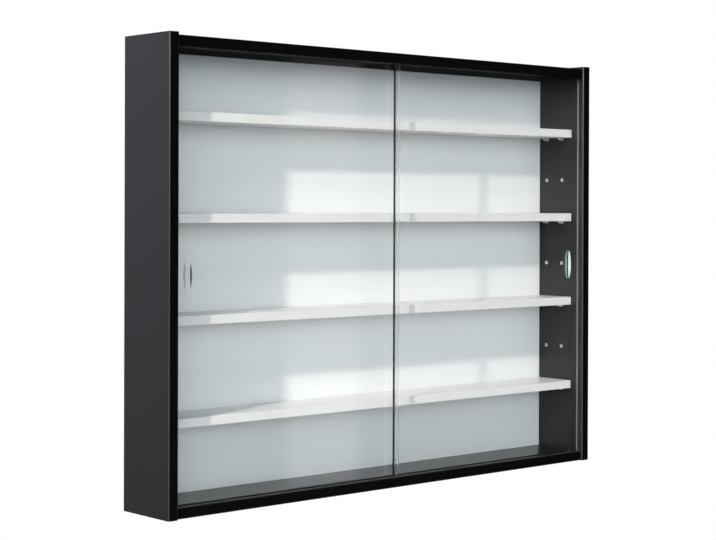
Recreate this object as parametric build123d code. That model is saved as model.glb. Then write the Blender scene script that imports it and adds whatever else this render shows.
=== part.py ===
from build123d import *
import os

# A wall display cabinet: a black carcass, a white back, four white shelves on steel pins
# and two panes of glass that slide past each other in plastic tracks.
# X runs across the cabinet, Y from its front to the wall, Z up. All sizes are millimetres.
# The origin lies on the rear plane, half way between the round holes of the two hangers.

# Carcass boards
overall_width = 800.0
overall_height = 600.0
overall_depth = 95.0
board_thickness = 15.0
front_setback = 3.0
top_drop = 3.0
edging_thickness = 2.0
edging_round = 1.8

# Back, held in grooves that run round the carcass
back_thickness = 3.0
back_recess = 4.0
back_groove_depth = 4.0
back_groove_clearance = 0.1
back_edge_clearance = 0.5

# Glass doors, the right one in the front groove and the left one in the rear groove
glass_thickness = 4.0
glass_arris = 0.4
door_overlap = 13.0
door_end_gap = 0.5
door_seat_gap = 0.2
door_engagement = 5.0

# Finger pulls, ground into the glass by a wheel with a rounded rim
pull_length = 45.0
pull_width = 13.0
pull_depth = 1.8
pull_from_edge = 24.0

# Tracks, set flush into the bottom and top boards
track_inset = 7.0
track_fin = 1.0
track_side_clearance = 0.5
track_floor = 1.0
lower_groove_depth = 3.5
upper_groove_depth = 9.5
track_end_gap = 0.3
track_seat_clearance = 0.05

# Shelves
shelf_count = 4
shelf_thickness = 12.0
shelf_behind_track = 4.5
shelf_back_gap = 0.5
shelf_end_gap = 0.8
shelf_edging_thickness = 1.0
shelf_edging_round = 0.7
notch_depth = 2.0

# Shelf pins and their rows of holes, which stand in the middle of the side boards' height
pin_diameter = 5.0
pin_in_board = 8.0
pin_reach = 7.5
pin_chamfer = 0.6
pin_collar_diameter = 7.0
pin_collar_thickness = 0.5
pin_seat_gap = 0.2
pin_hole_clearance = 0.05
pin_hole_depth = 9.0
pin_front_row = 43.5
pin_row_spacing = 30.0
hole_pitch = 64.0
levels_per_shelf = 2

# Dowels in the corner joints
dowel_diameter = 8.0
dowel_in_side = 10.0
dowel_in_board = 20.0
dowel_chamfer = 1.0
dowel_end_clearance = 1.0
dowel_side_clearance = 0.05
dowel_from_front = 34.0
dowel_from_rear = 17.0

# Cam locks and their bolts in the corner joints
cam_diameter = 15.0
cam_height = 12.0
cam_from_end = 24.5
cam_clearance = 0.1
cam_slot_width = 1.2
cam_slot_length = 8.0
cam_slot_depth = 1.5
bolt_stub_diameter = 6.0
bolt_stub_length = 10.0
bolt_shank_diameter = 7.0
bolt_shank_length = 16.5
bolt_neck_diameter = 5.0
bolt_head_diameter = 7.0
bolt_head_length = 4.0
bolt_bore_clearance = 0.3

# Keyhole hangers, let into the rear edges of the side boards
hanger_from_top = 40.0
hanger_from_side = 6.2
hanger_width = 10.5
hanger_below = 14.0
hanger_above = 23.0
hanger_thickness = 1.5
hanger_round = 2.0
hanger_recess_clearance = 0.2
head_hole_diameter = 8.4
slot_width = 4.4
slot_rise = 9.0
head_pocket_depth = 4.2
screw_low = -9.5
screw_high = 18.5
screw_diameter = 3.5
screw_head_diameter = 6.6
screw_head_height = 1.4
screw_length = 12.0
screw_point_length = 3.5
screw_point_diameter = 0.5
screw_clearance = 0.05
screw_slot_width = 0.8
screw_slot_length = 4.0
screw_slot_depth = 0.7

# How far a cutting shape runs past the face that it cuts
cut_over = 1.0

# The largest share of a strip's thickness that a rounded corner may take
largest_round = 0.95

# Levels and lines that follow from the sizes above
half_width = overall_width / 2
inner_half = half_width - board_thickness
front = -overall_depth
top = hanger_from_top
bottom = top - overall_height
floor_level = bottom + board_thickness
ceiling_level = top - top_drop - board_thickness
back_rear = -back_recess
back_front = back_rear - back_thickness

groove_width = glass_thickness + 2 * track_side_clearance
track_front = front + track_inset
track_rear = track_front + 3 * track_fin + 2 * groove_width
front_groove = track_front + track_fin
rear_groove = front_groove + groove_width + track_fin
lower_track_height = lower_groove_depth + track_floor
upper_track_height = upper_groove_depth + track_floor

door_width = (2 * inner_half - 2 * door_end_gap + door_overlap) / 2
glass_bottom = floor_level - lower_groove_depth + door_seat_gap
glass_top = ceiling_level + door_engagement

pin_radius = pin_diameter / 2
pin_rows = (front + pin_front_row, front + pin_front_row + pin_row_spacing)
hole_levels = (shelf_count - 1) * levels_per_shelf + 1
lowest_hole = (bottom + top - (hole_levels - 1) * hole_pitch) / 2
hole_heights = [lowest_hole + hole_pitch * level for level in range(hole_levels)]
shelf_back = back_front - shelf_back_gap
shelf_front = track_rear + shelf_behind_track
shelf_half = inner_half - shelf_end_gap

bolt_length = cam_from_end + bolt_head_length / 2
joint_rows = (front + dowel_from_front, -dowel_from_rear)
cam_line = sum(joint_rows) / 2


def block(x0, x1, y0, y1, z0, z1):
    """A box between two opposite corners."""
    box = Box(abs(x1 - x0), abs(y1 - y0), abs(z1 - z0))
    return Pos((x0 + x1) / 2, (y0 + y1) / 2, (z0 + z1) / 2) * box


def rod_x(x0, x1, y, z, radius):
    """A round bar along X."""
    return Pos((x0 + x1) / 2, y, z) * Rot(0, 90, 0) * Cylinder(radius, abs(x1 - x0))


def rod_y(y0, y1, x, z, radius):
    """A round bar along Y."""
    return Pos(x, (y0 + y1) / 2, z) * Rot(90, 0, 0) * Cylinder(radius, abs(y1 - y0))


def rod_z(z0, z1, x, y, radius):
    """A round bar along Z."""
    return Pos(x, y, (z0 + z1) / 2) * Cylinder(radius, abs(z1 - z0))


def cross(x, y, z, axis, width, length, depth):
    """The two crossed slots of a screwdriver recess, centred on a face."""
    across, along = width / 2, length / 2
    if axis == "y":
        return [
            block(x - along, x + along, y - depth, y + depth, z - across, z + across),
            block(x - across, x + across, y - depth, y + depth, z - along, z + along),
        ]
    return [
        block(x - along, x + along, y - across, y + across, z - depth, z + depth),
        block(x - across, x + across, y - along, y + along, z - depth, z + depth),
    ]


# Corner joints: the boards that meet a side board, and where their fastenings run
board_middles = (floor_level - board_thickness / 2, ceiling_level + board_thickness / 2)


def joint_bores_in_side(side):
    """The holes in a side board for the dowels and the cam bolts."""
    face = side * inner_half
    bores = []
    for z in board_middles:
        for y in joint_rows:
            depth = dowel_in_side + dowel_end_clearance
            bores.append(rod_x(face - side * cut_over, face + side * depth, y, z,
                               dowel_diameter / 2 + dowel_side_clearance))
        bores.append(rod_x(face - side * cut_over, face + side * bolt_stub_length, cam_line, z,
                           bolt_stub_diameter / 2 + dowel_side_clearance))
    return bores


def joint_bores_in_board(z, outward):
    """The holes in the ends and the outer face of the top or bottom board."""
    bores = []
    outer = z + outward * board_thickness / 2
    for side in (-1, 1):
        end = side * inner_half
        for y in joint_rows:
            depth = dowel_in_board + dowel_end_clearance
            bores.append(rod_x(end + side * cut_over, end - side * depth, y, z,
                               dowel_diameter / 2 + dowel_side_clearance))
        bores.append(rod_x(end + side * cut_over, end - side * bolt_length, cam_line, z,
                           bolt_shank_diameter / 2 + bolt_bore_clearance))
        bores.append(rod_z(outer + outward * cut_over, outer - outward * (cam_height + cam_clearance),
                           end - side * cam_from_end, cam_line, cam_diameter / 2 + cam_clearance))
    return bores


def dowel(side, y, z):
    """A chamfered beech dowel across one corner joint."""
    end = side * inner_half
    rod = rod_x(end + side * dowel_in_side, end - side * dowel_in_board, y, z, dowel_diameter / 2)
    return chamfer(rod.edges().filter_by(GeomType.CIRCLE), dowel_chamfer)


def cam_bolt(side, z):
    """A bolt whose stub screws into the side board and whose head lies in the cam."""
    end = side * inner_half
    head_start = cam_from_end - bolt_head_length / 2
    bolt = rod_x(end + side * bolt_stub_length, end, cam_line, z, bolt_stub_diameter / 2)
    bolt += rod_x(end, end - side * bolt_shank_length, cam_line, z, bolt_shank_diameter / 2)
    bolt += rod_x(end - side * bolt_shank_length, end - side * head_start, cam_line, z,
                  bolt_neck_diameter / 2)
    bolt += rod_x(end - side * head_start, end - side * bolt_length, cam_line, z,
                  bolt_head_diameter / 2)
    return bolt


def cam_lock(side, z, outward):
    """A round cam in the outer face of a board, hollowed for the head of its bolt."""
    end = side * inner_half
    x = end - side * cam_from_end
    outer = z + outward * board_thickness / 2
    cam = rod_z(outer, outer - outward * cam_height, x, cam_line, cam_diameter / 2)
    room = cam_diameter / 2 + cut_over
    cavity = bolt_head_length / 2 + bolt_bore_clearance
    cuts = [
        rod_x(x - cavity, x + cavity, cam_line, z, bolt_head_diameter / 2 + bolt_bore_clearance),
        rod_x(x, x + side * room, cam_line, z, bolt_neck_diameter / 2 + bolt_bore_clearance),
    ]
    return cam - cuts - cross(x, cam_line, outer, "z", cam_slot_width, cam_slot_length, cam_slot_depth)


# Hangers
def hanger_middle(side):
    """The X of a hanger's centre line."""
    return side * (half_width - hanger_from_side)


def hanger_pockets(side):
    """What is cut out of a side board's rear edge: the plate's seat, the room for the
    head of the wall screw behind it, and the two pilot holes."""
    x = hanger_middle(side)
    half = hanger_width / 2 + hanger_recess_clearance
    seat = block(x - half, x + half, -hanger_thickness, cut_over,
                 -hanger_below - hanger_recess_clearance, hanger_above + hanger_recess_clearance)
    radius = head_hole_diameter / 2
    floor = -hanger_thickness - head_pocket_depth
    pocket = [
        rod_y(floor, cut_over, x, 0, radius),
        rod_y(floor, cut_over, x, slot_rise, radius),
        block(x - radius, x + radius, floor, cut_over, 0, slot_rise),
    ]
    pilots = [rod_y(-screw_length, cut_over, x, z, screw_diameter / 2 + screw_clearance)
              for z in (screw_low, screw_high)]
    return [seat] + pocket + pilots


def hanger_plate(side):
    """A steel plate with a keyhole: a round hole for the screw's head, a slot above it."""
    x = hanger_middle(side)
    plate = block(x - hanger_width / 2, x + hanger_width / 2, -hanger_thickness, 0,
                  -hanger_below, hanger_above)
    plate = fillet(plate.edges().filter_by(Axis.Y), hanger_round)
    cuts = [
        rod_y(-hanger_thickness - cut_over, cut_over, x, 0, head_hole_diameter / 2),
        rod_y(-hanger_thickness - cut_over, cut_over, x, slot_rise, slot_width / 2),
        block(x - slot_width / 2, x + slot_width / 2, -hanger_thickness - cut_over, cut_over,
              0, slot_rise),
    ]
    for z in (screw_low, screw_high):
        cuts.append(rod_y(-hanger_thickness - cut_over, cut_over, x, z,
                          screw_diameter / 2 + screw_clearance))
        cuts.append(countersink(x, z, screw_clearance))
    return plate - cuts


def countersink(x, z, clearance):
    """The cone under a countersunk head, with its wide end on the rear plane."""
    wide = screw_head_diameter / 2 + clearance
    narrow = screw_diameter / 2 + clearance
    cone = Cone(narrow, wide, screw_head_height)
    return Pos(x, -screw_head_height / 2, z) * Rot(-90, 0, 0) * cone


def hanger_screw(side, z):
    """A countersunk screw that holds a hanger to the board."""
    x = hanger_middle(side)
    shank_end = screw_point_length - screw_length
    shank = rod_y(-screw_head_height, shank_end, x, z, screw_diameter / 2)
    point = Cone(screw_point_diameter / 2, screw_diameter / 2, screw_point_length)
    tip = Pos(x, shank_end - screw_point_length / 2, z) * Rot(-90, 0, 0) * point
    screw = countersink(x, z, 0) + shank + tip
    return screw - cross(x, 0, z, "y", screw_slot_width, screw_slot_length, screw_slot_depth)


# Boards of the carcass
def back_slot(x0, x1, z0, z1):
    """The groove that holds one edge of the back."""
    return block(x0, x1, back_front - back_groove_clearance, back_rear + back_groove_clearance, z0, z1)


def side_panel(side):
    """A side board with its groove, its rows of pin holes and its joint bores."""
    face = side * inner_half
    board = block(face, side * half_width, front + edging_thickness, 0, bottom, top)
    cuts = [back_slot(face - side * cut_over, face + side * back_groove_depth,
                      bottom - cut_over, top + cut_over)]
    for z in hole_heights:
        for y in pin_rows:
            cuts.append(rod_x(face - side * cut_over, face + side * pin_hole_depth, y, z,
                              pin_radius + pin_hole_clearance))
    return board - cuts - joint_bores_in_side(side) - hanger_pockets(side)


def side_edging(side):
    """The strip glued to a side board's front edge, rounded along both corners."""
    strip = block(side * inner_half, side * half_width, front, front + edging_thickness, bottom, top)
    corners = strip.edges().filter_by(Axis.Z).group_by(Axis.Y)[0]
    return fillet(corners, min(edging_round, largest_round * edging_thickness))


def cross_board(face, outward, track_height):
    """The top or bottom board, from its inner face outwards, with its track's seat."""
    start = front + front_setback + edging_thickness
    board = block(-inner_half, inner_half, start, 0, face, face + outward * board_thickness)
    middle = face + outward * board_thickness / 2
    cuts = [
        back_slot(-inner_half - cut_over, inner_half + cut_over,
                  face - outward * cut_over, face + outward * back_groove_depth),
        block(-inner_half - cut_over, inner_half + cut_over,
              track_front - track_seat_clearance, track_rear + track_seat_clearance,
              face - outward * cut_over, face + outward * track_height),
    ]
    return board - cuts - joint_bores_in_board(middle, outward)


def cross_edging(face, outward):
    """The strip on the front edge of the top or bottom board."""
    start = front + front_setback
    strip = block(-inner_half, inner_half, start, start + edging_thickness,
                  face, face + outward * board_thickness)
    corners = strip.edges().filter_by(Axis.X).group_by(Axis.Y)[0]
    return fillet(corners, min(edging_round, largest_round * edging_thickness))


def back_panel():
    """The white back, which stands in the grooves on all four sides."""
    reach = back_groove_depth - back_edge_clearance
    return block(-inner_half - reach, inner_half + reach, back_front, back_rear,
                 floor_level - reach, ceiling_level + reach)


def track(face, outward, height):
    """A plastic profile with two grooves that open into the cabinet."""
    half = inner_half - track_end_gap
    profile = block(-half, half, track_front, track_rear, face, face + outward * height)
    grooves = [block(-half - cut_over, half + cut_over, y, y + groove_width,
                     face - outward * cut_over, face + outward * (height - track_floor))
               for y in (front_groove, rear_groove)]
    return profile - grooves


# Glass
def grinding_wheel(x, y, z):
    """The wheel, turning about X, at the depth where it has cut the pull's full outline."""
    rim = ((pull_width / 2) ** 2 + pull_depth ** 2) / (2 * pull_depth)
    radius = ((pull_length / 2) ** 2 + pull_depth ** 2) / (2 * pull_depth)
    wheel = Torus(radius - rim, rim)
    return Pos(x, y - radius + pull_depth, z) * Rot(0, 90, 0) * wheel


def glass_door(side):
    """One pane with ground edges and a finger pull near its outer edge."""
    outer = side * (inner_half - door_end_gap)
    groove = front_groove if side > 0 else rear_groove
    face = groove + track_side_clearance
    pane = block(outer, outer - side * door_width, face, face + glass_thickness, glass_bottom, glass_top)
    pane = chamfer(pane.edges(), glass_arris)
    return pane - grinding_wheel(outer - side * pull_from_edge, face, (glass_bottom + glass_top) / 2)


# Shelves
def shelf_underside(height):
    """The level of a shelf's lower face over pins at this height."""
    return height + pin_radius + pin_seat_gap - notch_depth


def shelf_board(height):
    """A shelf with a half-round notch over each of its four pins."""
    low = shelf_underside(height)
    board = block(-shelf_half, shelf_half, shelf_front + shelf_edging_thickness, shelf_back,
                  low, low + shelf_thickness)
    notches = []
    for side in (-1, 1):
        start = side * (shelf_half + cut_over)
        stop = side * (inner_half - pin_reach - pin_seat_gap)
        for y in pin_rows:
            notches.append(rod_x(start, stop, y, height, pin_radius + pin_seat_gap))
    return board - notches


def shelf_edging(height):
    """The thin strip on a shelf's front edge."""
    low = shelf_underside(height)
    strip = block(-shelf_half, shelf_half, shelf_front, shelf_front + shelf_edging_thickness,
                  low, low + shelf_thickness)
    corners = strip.edges().filter_by(Axis.X).group_by(Axis.Y)[0]
    return fillet(corners, min(shelf_edging_round, largest_round * shelf_edging_thickness))


def shelf_pin(side, y, height):
    """A steel pin with a collar that stops it at the face of the board."""
    face = side * inner_half
    pin = rod_x(face + side * pin_in_board, face - side * pin_reach, y, height, pin_radius)
    pin = chamfer(pin.edges().filter_by(GeomType.CIRCLE), pin_chamfer)
    return pin + rod_x(face, face - side * pin_collar_thickness, y, height, pin_collar_diameter / 2)


def shelf_pins(height):
    """The four pins under one shelf."""
    return [shelf_pin(side, y, height) for side in (-1, 1) for y in pin_rows]


def all_parts():
    """Every node's name with its solid, or with its list of equal solids."""
    parts = {
        "left_side_panel": side_panel(-1),
        "right_side_panel": side_panel(1),
        "left_side_edging": side_edging(-1),
        "right_side_edging": side_edging(1),
        "top_panel": cross_board(ceiling_level, 1, upper_track_height),
        "bottom_panel": cross_board(floor_level, -1, lower_track_height),
        "top_edging": cross_edging(ceiling_level, 1),
        "bottom_edging": cross_edging(floor_level, -1),
        "back_panel": back_panel(),
        "upper_track": track(ceiling_level, 1, upper_track_height),
        "lower_track": track(floor_level, -1, lower_track_height),
        "left_glass_door": glass_door(-1),
        "right_glass_door": glass_door(1),
        "left_hanger": hanger_plate(-1),
        "right_hanger": hanger_plate(1),
        "left_hanger_screws": [hanger_screw(-1, z) for z in (screw_low, screw_high)],
        "right_hanger_screws": [hanger_screw(1, z) for z in (screw_low, screw_high)],
    }
    corners = (("lower", board_middles[0], -1), ("upper", board_middles[1], 1))
    for name, z, outward in corners:
        parts[name + "_dowels"] = [dowel(side, y, z) for side in (-1, 1) for y in joint_rows]
        parts[name + "_cam_bolts"] = [cam_bolt(side, z) for side in (-1, 1)]
        parts[name + "_cam_locks"] = [cam_lock(side, z, outward) for side in (-1, 1)]
    # Shelf 1 is the highest
    for number in range(1, shelf_count + 1):
        height = hole_heights[(shelf_count - number) * levels_per_shelf]
        parts[f"shelf_{number}"] = shelf_board(height)
        parts[f"shelf_{number}_edging"] = shelf_edging(height)
        parts[f"shelf_{number}_pins"] = shelf_pins(height)
    return parts


os.makedirs("parts", exist_ok=True)
for node, shape in all_parts().items():
    if isinstance(shape, list):
        shape = Compound(children=shape)
    export_step(shape, f"parts/{node}.step")
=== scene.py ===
"""The looks of a wall display cabinet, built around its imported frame.

Every length is in metres, in the frame's own axes: X to the right, Y to the wall, Z up.
Sizes that the frame holds are read from its nodes, and only what it lacks is given here.
"""

import logging
import math
from collections.abc import Callable, Iterator
from contextlib import contextmanager
from dataclasses import dataclass
from enum import Enum
from typing import ClassVar

import bmesh
import bpy
from mathutils import Matrix, Vector


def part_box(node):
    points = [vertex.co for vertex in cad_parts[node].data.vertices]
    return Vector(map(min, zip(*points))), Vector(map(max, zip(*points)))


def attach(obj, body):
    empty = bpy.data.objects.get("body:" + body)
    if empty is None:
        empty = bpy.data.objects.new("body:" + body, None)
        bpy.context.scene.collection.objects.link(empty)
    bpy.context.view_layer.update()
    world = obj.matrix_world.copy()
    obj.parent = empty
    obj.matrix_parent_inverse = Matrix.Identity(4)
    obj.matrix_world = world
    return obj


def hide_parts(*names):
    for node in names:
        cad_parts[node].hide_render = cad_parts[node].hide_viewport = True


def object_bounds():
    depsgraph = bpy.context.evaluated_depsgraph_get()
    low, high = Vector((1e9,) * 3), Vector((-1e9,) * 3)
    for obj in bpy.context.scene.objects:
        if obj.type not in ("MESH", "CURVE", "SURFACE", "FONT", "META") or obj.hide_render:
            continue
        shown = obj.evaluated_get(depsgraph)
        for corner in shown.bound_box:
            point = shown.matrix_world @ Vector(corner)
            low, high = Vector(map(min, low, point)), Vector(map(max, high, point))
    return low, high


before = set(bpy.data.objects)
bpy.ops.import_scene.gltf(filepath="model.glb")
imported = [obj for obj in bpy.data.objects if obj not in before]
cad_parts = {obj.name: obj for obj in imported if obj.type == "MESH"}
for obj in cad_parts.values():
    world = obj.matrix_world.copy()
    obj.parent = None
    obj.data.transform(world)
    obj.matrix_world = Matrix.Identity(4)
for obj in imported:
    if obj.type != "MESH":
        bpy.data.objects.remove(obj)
CAD_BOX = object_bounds()

MM = 0.001
OVER = 1 * MM
NEARLY = 0.999
FACING = 0.9
SLANTED = 0.98
SHARP = math.radians(80)
LEFTWARD = Vector((-1, 0, 0))
RIGHTWARD = Vector((1, 0, 0))
FORWARD = Vector((0, -1, 0))
REARWARD = Vector((0, 1, 0))
log = logging.getLogger("cabinet")

Colour = tuple[float, float, float]
Place = tuple[float, float, float]
Range = tuple[float, float]
Piece = bpy.types.Object
Socket = bpy.types.NodeSocket
EdgeTest = Callable[[bmesh.types.BMEdge], bool]
FaceTest = Callable[[bpy.types.MeshPolygon], bool]


class Named(Enum):
    """An option that can name itself in words."""

    @property
    def word(self) -> str:
        """The option's name in lower case."""
        return self.name.lower()


class Side(Named):
    """The two ends of the cabinet, each with the sign of its X."""

    LEFT = -1
    RIGHT = 1


class Level(Named):
    """The bottom and the top of the carcass, each with the sign of its outward Z."""

    LOWER = -1
    UPPER = 1


class Along(Enum):
    """The three axes, by their place in a vector."""

    X = 0
    Y = 1
    Z = 2


class Element(Named):
    """What a selection in edit mode holds."""

    VERTS = "VERT"
    EDGES = "EDGE"


@dataclass(frozen=True)
class Extent:
    """A block of space between two corners."""

    low: Vector
    high: Vector

    @classmethod
    def of(cls, node: str) -> "Extent":
        """The space that a node of the frame takes up."""
        return cls(*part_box(node))

    @property
    def centre(self) -> Vector:
        """The middle of the block."""
        return (self.low + self.high) / 2

    @property
    def size(self) -> Vector:
        """The lengths of the block's sides."""
        return self.high - self.low

    def end(self, along: Along, sign: int) -> float:
        """The block's upper limit along an axis, or its lower one for a negative sign."""
        return (self.high if sign > 0 else self.low)[along.value]

    def limited(self, **limits: Range) -> "Extent":
        """The same block with other limits along the axes named x, y or z."""
        low, high = self.low.copy(), self.high.copy()
        for axis, pair in limits.items():
            setattr(low, axis, min(pair))
            setattr(high, axis, max(pair))
        return Extent(low, high)


# Node graphs

class Graph:
    """Short calls that add and wire the nodes of one tree."""

    def __init__(self, tree: bpy.types.NodeTree) -> None:
        """Starts on an empty tree."""
        tree.nodes.clear()
        self.tree = tree

    def feed(self, socket: Socket, value: object) -> None:
        """Links a socket to an input, or sets the input to a constant."""
        if isinstance(value, Socket):
            self.tree.links.new(value, socket)
        elif socket.type == "RGBA" and len(value) == 3:
            socket.default_value = (*value, 1)
        else:
            socket.default_value = value

    def add(self, kind: str, inputs: dict[str | int, object] | None = None,
            **settings) -> bpy.types.Node:
        """Adds one node.

        Args:
            kind: The node's type, without the prefix that shader nodes share.
            inputs: A socket or a constant for each named or numbered input.
            settings: The node's own properties.

        Returns:
            The new node.
        """
        prefix = "" if kind.startswith("Node") else "ShaderNode"
        node = self.tree.nodes.new(prefix + kind)
        for name, value in settings.items():
            setattr(node, name, value)
        for name, value in (inputs or {}).items():
            self.feed(node.inputs[name], value)
        return node

    def place(self) -> Socket:
        """Where a point lies on the object, in metres."""
        return self.add("TexCoord").outputs["Object"]

    def math(self, operation: str, *values: object, clamp: bool = False) -> Socket:
        """The result of one sum."""
        inputs = dict(enumerate(values))
        return self.add("Math", inputs, operation=operation, use_clamp=clamp).outputs[0]

    def vector(self, operation: str, *values: object) -> Socket:
        """The result of one sum with vectors."""
        node = self.add("VectorMath", dict(enumerate(values)), operation=operation)
        return node.outputs["Value" if operation == "DOT_PRODUCT" else "Vector"]

    def noise(self, vector: Socket, scale: object, detail: float = 2, rough: float = 0.5) -> Socket:
        """Smooth noise from 0 to 1."""
        inputs = {"Vector": vector, "Scale": scale, "Detail": detail, "Roughness": rough}
        return self.add("TexNoise", inputs).outputs["Fac"]

    def spread(self, value: Socket, low: object, high: object,
               start: float = 0, stop: float = 1) -> Socket:
        """A value moved from one range to another, and held inside it."""
        inputs = {"Value": value, "From Min": start, "From Max": stop,
                  "To Min": low, "To Max": high}
        return self.add("MapRange", inputs).outputs[0]

    def mix(self, share: object, first: object, second: object, blend: str = "MIX") -> Socket:
        """Two colours, mixed."""
        node = self.add("Mix", data_type="RGBA", blend_type=blend)
        for index, value in ((0, share), (6, first), (7, second)):
            self.feed(node.inputs[index], value)
        return node.outputs[2]

    def effect(self, effect: type["Effect"], **inputs: object) -> bpy.types.NodeOutputs:
        """The outputs of an effect's group, whose inputs are named in lower case."""
        node = self.add("Group", node_tree=effect.tree())
        for name, value in inputs.items():
            self.feed(node.inputs[name.title()], value)
        return node.outputs


class Effect:
    """A surface effect kept as a node group, which each material uses with its own values."""

    title = ""
    inputs: dict[str, object] = {}
    outputs: dict[str, str] = {}

    @classmethod
    def tree(cls) -> bpy.types.NodeTree:
        """The effect's group, built when it is first used."""
        if cls.title in bpy.data.node_groups:
            return bpy.data.node_groups[cls.title]
        tree = bpy.data.node_groups.new(cls.title, "ShaderNodeTree")
        for name, default in cls.inputs.items():
            number = isinstance(default, float)
            kind = "NodeSocketFloat" if number else "NodeSocketColor"
            socket = tree.interface.new_socket(name, in_out="INPUT", socket_type=kind)
            socket.default_value = default if number else (*default, 1)
        for name, kind in cls.outputs.items():
            tree.interface.new_socket(name, in_out="OUTPUT", socket_type=kind)
        graph = Graph(tree)
        found = cls.wire(graph, graph.add("NodeGroupInput").outputs)
        graph.add("NodeGroupOutput", found)
        return tree

    @classmethod
    def wire(cls, graph: Graph, given: bpy.types.NodeOutputs) -> dict[str, Socket]:
        """The socket behind each output."""
        raise NotImplementedError


class Pearl(Effect):
    """The fine pearled texture of a pressed or moulded surface."""

    title = "Pearled texture"
    inputs = {"Grain": 1600.0}
    outputs = {"Height": "NodeSocketFloat"}
    finer = 2.7
    fine_share = 0.4

    @classmethod
    def wire(cls, graph: Graph, given: bpy.types.NodeOutputs) -> dict[str, Socket]:
        """Two sizes of noise, the finer one weaker."""
        place = graph.place()
        coarse = graph.noise(place, given["Grain"], 1, 0.4)
        fine = graph.noise(place, graph.math("MULTIPLY", given["Grain"], cls.finer), 1, 0.4)
        return {"Height": graph.math("MULTIPLY_ADD", fine, cls.fine_share, coarse)}


class Handling(Effect):
    """Faint wiping marks and haze, which change the gloss and the tone."""

    title = "Handling marks"
    inputs = {"Gloss": 0.3, "Range": 0.05}
    outputs = {"Roughness": "NodeSocketFloat", "Haze": "NodeSocketFloat"}
    patch_scale = 9
    stroke_scale = (60, 60, 14)
    stroke_share = 0.15
    haze_limits = (0.2, 0.8)

    @classmethod
    def wire(cls, graph: Graph, given: bpy.types.NodeOutputs) -> dict[str, Socket]:
        """Broad patches with short strokes laid over them."""
        place = graph.place()
        patches = graph.noise(place, cls.patch_scale, 1, 0.4)
        strokes = graph.noise(graph.vector("MULTIPLY", place, cls.stroke_scale), 1)
        weaker = graph.math("MULTIPLY", patches, 1 - cls.stroke_share)
        both = graph.math("MULTIPLY_ADD", strokes, cls.stroke_share, weaker)
        haze = graph.spread(both, 0, 1, *cls.haze_limits)
        centred = graph.math("SUBTRACT", haze, 0.5)
        rough = graph.math("MULTIPLY_ADD", centred, given["Range"], given["Gloss"])
        return {"Roughness": rough, "Haze": haze}


class Particles(Effect):
    """The pressed wood particles in the core of a board."""

    title = "Pressed particles"
    inputs = {"Grain": 700.0, "Light": (0.62, 0.46, 0.3), "Dark": (0.24, 0.14, 0.08)}
    outputs = {"Color": "NodeSocketColor", "Height": "NodeSocketFloat"}
    pressed = (1, 1, 1.6)
    warp_scale = 500
    warp_reach = 1.2 * MM
    dust_scale = 3000
    dust_share = 0.35

    @classmethod
    def wire(cls, graph: Graph, given: bpy.types.NodeOutputs) -> dict[str, Socket]:
        """Flat chips of unlike tone, with pores between them."""
        place = graph.vector("MULTIPLY", graph.place(), cls.pressed)
        warp = graph.add("TexNoise", {"Vector": place, "Scale": cls.warp_scale, "Detail": 2})
        bent = graph.vector("MULTIPLY_ADD", warp.outputs["Color"], (cls.warp_reach,) * 3, place)
        chips = graph.add("TexVoronoi", {"Vector": bent, "Scale": given["Grain"]}).outputs
        tone = graph.add("SeparateColor", {0: chips["Color"]}).outputs[0]
        dust = graph.noise(place, cls.dust_scale, 2, 0.6)
        chip_share = graph.math("MULTIPLY", tone, 1 - cls.dust_share)
        share = graph.math("MULTIPLY_ADD", dust, cls.dust_share, chip_share)
        return {"Color": graph.mix(share, given["Dark"], given["Light"]),
                "Height": graph.math("SUBTRACT", share, chips["Distance"])}


class Drawn(Effect):
    """Fine lines left by rolling, drawing or grinding along X."""

    title = "Drawn lines"
    inputs = {"Grain": 2500.0}
    outputs = {"Lines": "NodeSocketFloat"}
    stretch = (0.01, 1, 1)

    @classmethod
    def wire(cls, graph: Graph, given: bpy.types.NodeOutputs) -> dict[str, Socket]:
        """Noise drawn out a hundredfold."""
        drawn = graph.vector("MULTIPLY", graph.place(), cls.stretch)
        return {"Lines": graph.noise(drawn, given["Grain"], 2, 0.6)}


# Finishes

@dataclass(frozen=True)
class Finish:
    """A surface finish, made into a material when it is first used."""

    name: str

    def material(self) -> bpy.types.Material:
        """The finish's material, or the frame's own one if that has the finish's name."""
        if self.name in bpy.data.materials:
            return bpy.data.materials[self.name]
        material = bpy.data.materials.new(self.name)
        material.use_nodes = True
        graph = Graph(material.node_tree)
        graph.add("OutputMaterial", {"Surface": self.surface(graph)})
        return material

    def surface(self, graph: Graph) -> Socket:
        """The shader of the surface."""
        raise NotImplementedError

    @staticmethod
    def skin(graph: Graph, colour: Socket, rough: object, height: Socket, depth: float,
             others: dict[str, object] | None = None) -> Socket:
        """The shader of a solid surface with a relief.

        Args:
            graph: The material's graph.
            colour: The surface's colour.
            rough: Its roughness.
            height: The relief, from 0 to 1.
            depth: The relief's full range, as a length.
            others: More inputs of the shader.

        Returns:
            The shader's socket.
        """
        normal = graph.add("Bump", {"Height": height, "Distance": depth}).outputs["Normal"]
        inputs = {"Base Color": colour, "Roughness": rough, "Normal": normal}
        return graph.add("BsdfPrincipled", inputs | (others or {})).outputs[0]


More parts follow.
